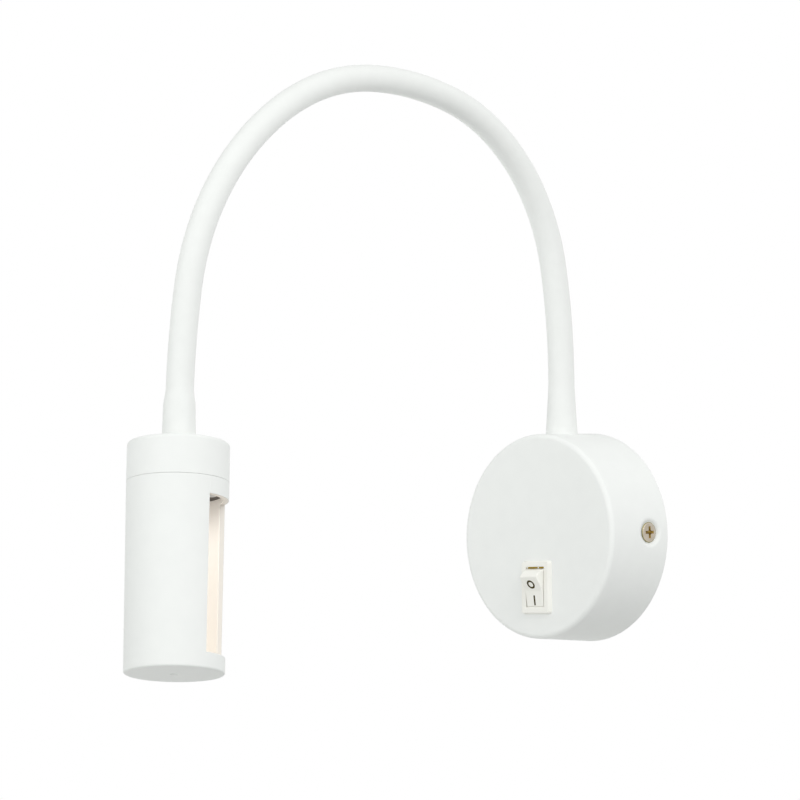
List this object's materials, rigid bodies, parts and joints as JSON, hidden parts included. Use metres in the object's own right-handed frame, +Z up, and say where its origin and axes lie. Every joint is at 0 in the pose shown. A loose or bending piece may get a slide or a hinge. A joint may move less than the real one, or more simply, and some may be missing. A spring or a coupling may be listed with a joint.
{
  "type": "wall lamp",
  "caption": "Wall lamp with a round base and rocker switch, a sleeved gooseneck arm and a cylindrical head whose shade has a tall light slot.",
  "frame": {"origin": "centre of the base's back face, on the wall", "axes": "+Z up, +Y into the wall, -Y into the room, +X to the right of a viewer who faces the wall"},
  "size_m": [0.08, 0.245, 0.2272],
  "materials": {
    "white_plastic": "satin moulded white",
    "white_silicone": "smooth satin white",
    "switch_plastic": "slightly glossy ivory white",
    "zinc_steel": "zinc plated",
    "nickel_screw": "dull nickel plated",
    "brass": "plain",
    "black_rubber": "matt",
    "grey_plastic": "matt",
    "lead_plastic": "matt insulation",
    "aluminium": "turned",
    "board_white": "white solder mask",
    "led_yellow": "phosphor",
    "lens_clear": "clear polished",
    "dark_plastic": "matt dark"
  },
  "bodies": {
    "base": {"base_cover": "white_plastic", "side_screws": "nickel_screw", "wall_bracket": "zinc_steel", "lead_grommet": "black_rubber", "terminal_block": "grey_plastic", "terminal_clamps": "brass", "terminal_screws": "zinc_steel", "led_driver": "grey_plastic", "driver_pad": "black_rubber", "switch_housing": "switch_plastic", "switch_terminals": "brass", "lower_ferrule": "zinc_steel", "lower_washer": "zinc_steel", "lower_nut": "brass", "neck_core_1": "zinc_steel", "neck_lead_1": "lead_plastic", "neck_sleeve_1": "white_silicone"},
    "rocker": {"rocker": "switch_plastic"},
    "neck_2": {"neck_core_2": "zinc_steel", "neck_lead_2": "lead_plastic", "neck_sleeve_2": "white_silicone"},
    "neck_3": {"neck_core_3": "zinc_steel", "neck_lead_3": "lead_plastic", "neck_sleeve_3": "white_silicone"},
    "neck_4": {"neck_core_4": "zinc_steel", "neck_lead_4": "lead_plastic", "neck_sleeve_4": "white_silicone"},
    "neck_5": {"neck_core_5": "zinc_steel", "neck_lead_5": "lead_plastic", "neck_sleeve_5": "white_silicone"},
    "neck_6": {"neck_core_6": "zinc_steel", "neck_lead_6": "lead_plastic", "neck_sleeve_6": "white_silicone"},
    "neck_7": {"neck_core_7": "zinc_steel", "neck_lead_7": "lead_plastic", "neck_sleeve_7": "white_silicone"},
    "head": {"neck_core_8": "zinc_steel", "neck_lead_8": "lead_plastic", "neck_sleeve_8": "white_silicone", "upper_ferrule": "zinc_steel", "upper_washer": "zinc_steel", "upper_nut": "brass", "head_cap": "white_plastic", "heat_sink": "aluminium", "sink_screws": "zinc_steel", "led_board": "board_white", "led_emitter": "led_yellow", "led_lens": "lens_clear", "lens_retainer": "dark_plastic"},
    "shade": {"shade": "white_plastic", "shade_ring": "zinc_steel"}
  },
  "joints": [
    {"name": "rocker_tilt", "type": "hinge", "parent": "base", "child": "rocker", "pos_m": [0, -0.0293, -0.0195], "axis": [1, 0, 0], "range_deg": [-41, 0]},
    {"name": "neck_bend_1", "type": "hinge", "parent": "base", "child": "neck_2", "pos_m": [0, -0.01997, 0.10302], "axis": [1, 0, 0], "range_deg": [-24, 10], "deforming": ["neck_sleeve_1", "neck_sleeve_2"]},
    {"name": "neck_bend_2", "type": "hinge", "parent": "neck_2", "child": "neck_3", "pos_m": [0.00044, -0.03945, 0.14125], "axis": [0.9998, 0.0094, -0.0184], "range_deg": [-24, 10], "deforming": ["neck_sleeve_2", "neck_sleeve_3"]},
    {"name": "neck_sway_3", "type": "hinge", "parent": "neck_3", "child": "neck_4", "pos_m": [0.00101, -0.0763, 0.16334], "axis": [0.0129, 0.2656, 0.964], "range_deg": [-20, 20], "deforming": ["neck_sleeve_3", "neck_sleeve_4"]},
    {"name": "neck_bend_4", "type": "hinge", "parent": "neck_4", "child": "neck_5", "pos_m": [0.00131, -0.11936, 0.16794], "axis": [0.9999, 0.0089, -0.0147], "range_deg": [-24, 10], "deforming": ["neck_sleeve_4", "neck_sleeve_5"]},
    {"name": "neck_sway_5", "type": "hinge", "parent": "neck_5", "child": "neck_6", "pos_m": [0.00097, -0.16045, 0.15507], "axis": [0.0113, -0.5239, 0.8517], "range_deg": [-20, 20], "deforming": ["neck_sleeve_5", "neck_sleeve_6"]},
    {"name": "neck_bend_6", "type": "hinge", "parent": "neck_6", "child": "neck_7", "pos_m": [0.00021, -0.19189, 0.12545], "axis": [0.9999, -0.0028, -0.0112], "range_deg": [-24, 10], "deforming": ["neck_sleeve_6", "neck_sleeve_7"]},
    {"name": "neck_sway_7", "type": "hinge", "parent": "neck_7", "child": "head", "pos_m": [0.00035, -0.20858, 0.08565], "axis": [0.0055, -0.9832, 0.1823], "range_deg": [-20, 20], "deforming": ["neck_sleeve_7", "neck_sleeve_8"]},
    {"name": "shade_turn", "type": "hinge", "parent": "head", "child": "shade", "pos_m": [0.00622, -0.21896, 0.01458], "axis": [0.1091, -0.1273, -0.9858], "continuous": true}
  ]
}
